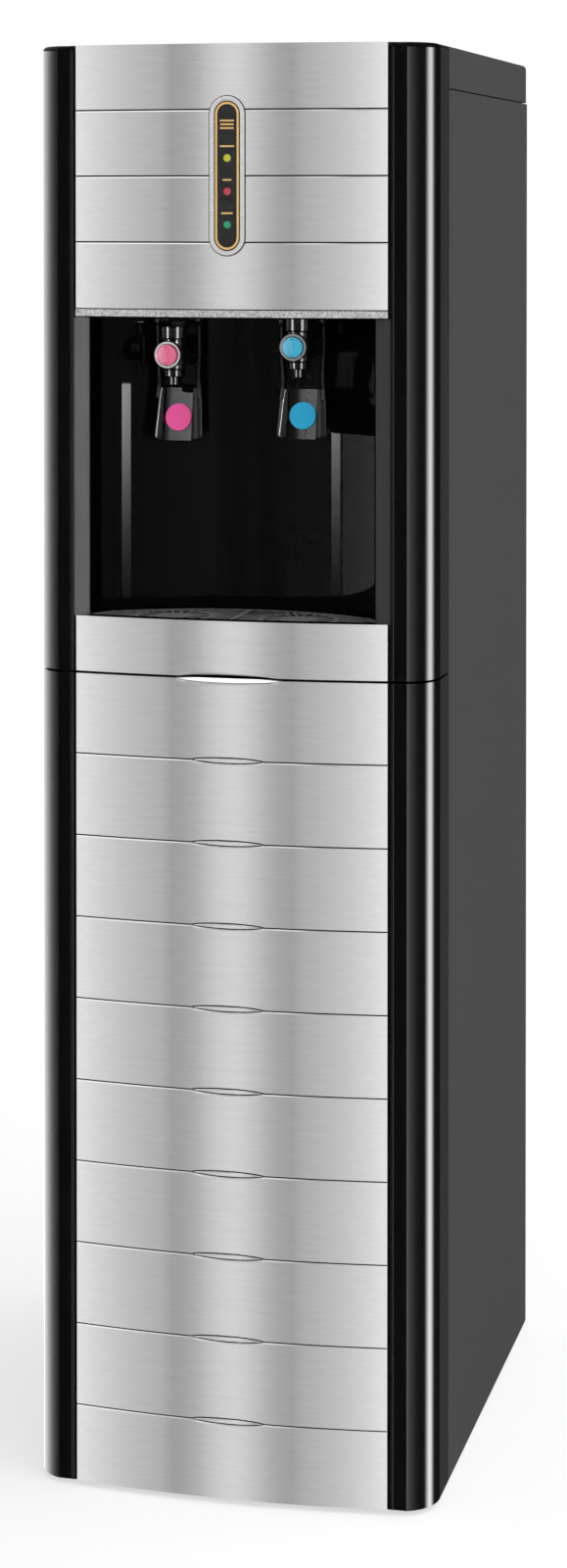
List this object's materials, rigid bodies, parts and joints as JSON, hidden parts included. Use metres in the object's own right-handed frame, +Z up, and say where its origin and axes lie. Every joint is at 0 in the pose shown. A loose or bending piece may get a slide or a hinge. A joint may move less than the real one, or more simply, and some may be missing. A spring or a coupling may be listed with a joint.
{
  "type": "bottleless water cooler",
  "caption": "Tall floor-standing plumbed-in water cooler with bowed steel strip panels, gloss black corners, a niche with hot and cold push-lever taps and a lift-out drip tray.",
  "frame": {"origin": "middle of the footprint, on the floor", "axes": "+Z up, the front with the taps faces -Y, +X to the right seen from the front"},
  "size_m": [0.373, 0.5272, 1.32],
  "materials": {
    "cabinet_paint": "dark grey textured paint",
    "gloss_black": "moulded gloss black",
    "steel": "satin stainless sheet",
    "bright_trim": "satin bright trim",
    "grille_black": "moulded dark grey",
    "window_black": "gloss black window",
    "lens_yellow": "lamp lens",
    "lens_red": "lamp lens",
    "lens_green": "lamp lens",
    "circuit_board": "green board",
    "hot_pink": "moulded pink",
    "cold_blue": "moulded blue",
    "ring_metal": "satin plated ring",
    "stainless": "stainless",
    "brass": "turned brass",
    "galvanised": "galvanised sheet",
    "clip_white": "natural white plastic",
    "foam_white": "expanded bead foam",
    "jacket_grey": "grey foam jacket",
    "copper": "drawn copper tube",
    "valve_blue": "blue plastic",
    "satin_black": "black satin paint",
    "black_rubber": "moulded rubber",
    "switch_black": "black plastic",
    "rocker_red": "red rocker",
    "rocker_green": "green rocker"
  },
  "bodies": {
    "cabinet": {"base_pan": "cabinet_paint", "levelling_feet": "black_rubber", "side_panel_left": "cabinet_paint", "side_panel_right": "cabinet_paint", "rear_cover": "cabinet_paint", "top_cover": "cabinet_paint", "lower_shelf": "galvanised", "upper_shelf": "galvanised", "upper_fascia": "gloss_black", "niche_liner": "gloss_black", "upper_steel_panel": "steel", "canopy_trim": "bright_trim", "indicator_bezel": "bright_trim", "indicator_plate": "window_black", "lamp_power": "lens_yellow", "lamp_hot": "lens_red", "lamp_cold": "lens_green", "lamp_board": "circuit_board", "tray_front_strip": "steel", "panel_clips": "clip_white", "hot_tap_body": "gloss_black", "cold_tap_body": "gloss_black", "tap_bonnets": "gloss_black", "lever_pins": "stainless", "tap_nuts": "brass", "cold_tank": "stainless", "cold_tank_lid": "clip_white", "cold_tank_foam": "foam_white", "evaporator_coil": "copper", "float_valve": "valve_blue", "hot_tank": "stainless", "hot_tank_jacket": "jacket_grey", "compressor": "satin_black", "compressor_grommets": "black_rubber", "condenser": "satin_black", "filter_drier": "copper", "filter_head": "clip_white", "filter_cartridges": "clip_white", "inlet_valve": "clip_white", "inlet_fitting": "clip_white", "water_tubes": "clip_white", "drain_outlets": "clip_white", "cord_gland": "switch_black", "switch_frames": "switch_black", "control_box": "clip_white"},
    "hot_lever": {"hot_lever": "gloss_black", "hot_lever_pad": "hot_pink"},
    "cold_lever": {"cold_lever": "gloss_black", "cold_lever_pad": "cold_blue"},
    "hot_knob": {"hot_knob_ring": "ring_metal", "hot_knob": "hot_pink"},
    "cold_knob": {"cold_knob_ring": "ring_metal", "cold_knob": "cold_blue"},
    "drip_tray": {"drip_tray": "gloss_black"},
    "drip_grille": {"drip_grille": "grille_black"},
    "service_panel": {"lower_fascia": "gloss_black", "lower_steel_panel": "steel"},
    "rocker_hot": {"rocker_hot": "rocker_red"},
    "rocker_cold": {"rocker_cold": "rocker_green"},
    "float_arm": {"float_arm": "clip_white"}
  },
  "joints": [
    {"name": "hot_lever_push", "type": "hinge", "parent": "cabinet", "child": "hot_lever", "pos_m": [-0.0585, -0.2124, 1.07], "axis": [1, 0, 0], "range_deg": [0, 12], "stiffness_Nm_per_rad": 0.12},
    {"name": "cold_lever_push", "type": "hinge", "parent": "cabinet", "child": "cold_lever", "pos_m": [0.0585, -0.2124, 1.07], "axis": [1, 0, 0], "range_deg": [0, 12], "stiffness_Nm_per_rad": 0.12},
    {"name": "hot_knob_turn", "type": "hinge", "parent": "cabinet", "child": "hot_knob", "pos_m": [-0.0585, -0.2524, 1.039], "axis": [0, -1, 0], "range_deg": [0, 90]},
    {"name": "cold_knob_turn", "type": "hinge", "parent": "cabinet", "child": "cold_knob", "pos_m": [0.0585, -0.2524, 1.047], "axis": [0, -1, 0], "range_deg": [0, 90]},
    {"name": "tray_lift", "type": "slide", "parent": "cabinet", "child": "drip_tray", "axis": [0, 0, 1], "range_m": [0, 0.045]},
    {"name": "grille_lift", "type": "slide", "parent": "drip_tray", "child": "drip_grille", "axis": [0, 0, 1], "range_m": [0, 0.03]},
    {"name": "service_panel_pull", "type": "slide", "parent": "cabinet", "child": "service_panel", "axis": [0, -1, 0], "range_m": [0, 0.12]},
    {"name": "rocker_hot_tip", "type": "hinge", "parent": "cabinet", "child": "rocker_hot", "pos_m": [0.092, 0.2542, 0.647], "axis": [-1, 0, 0], "range_deg": [0, 18]},
    {"name": "rocker_cold_tip", "type": "hinge", "parent": "cabinet", "child": "rocker_cold", "pos_m": [0.126, 0.2542, 0.647], "axis": [-1, 0, 0], "range_deg": [0, 18]},
    {"name": "float_swing", "type": "hinge", "parent": "cabinet", "child": "float_arm", "pos_m": [0.0285, 0.004, 1.1372], "axis": [1, 0, 0], "range_deg": [-35, 0]}
  ]
}
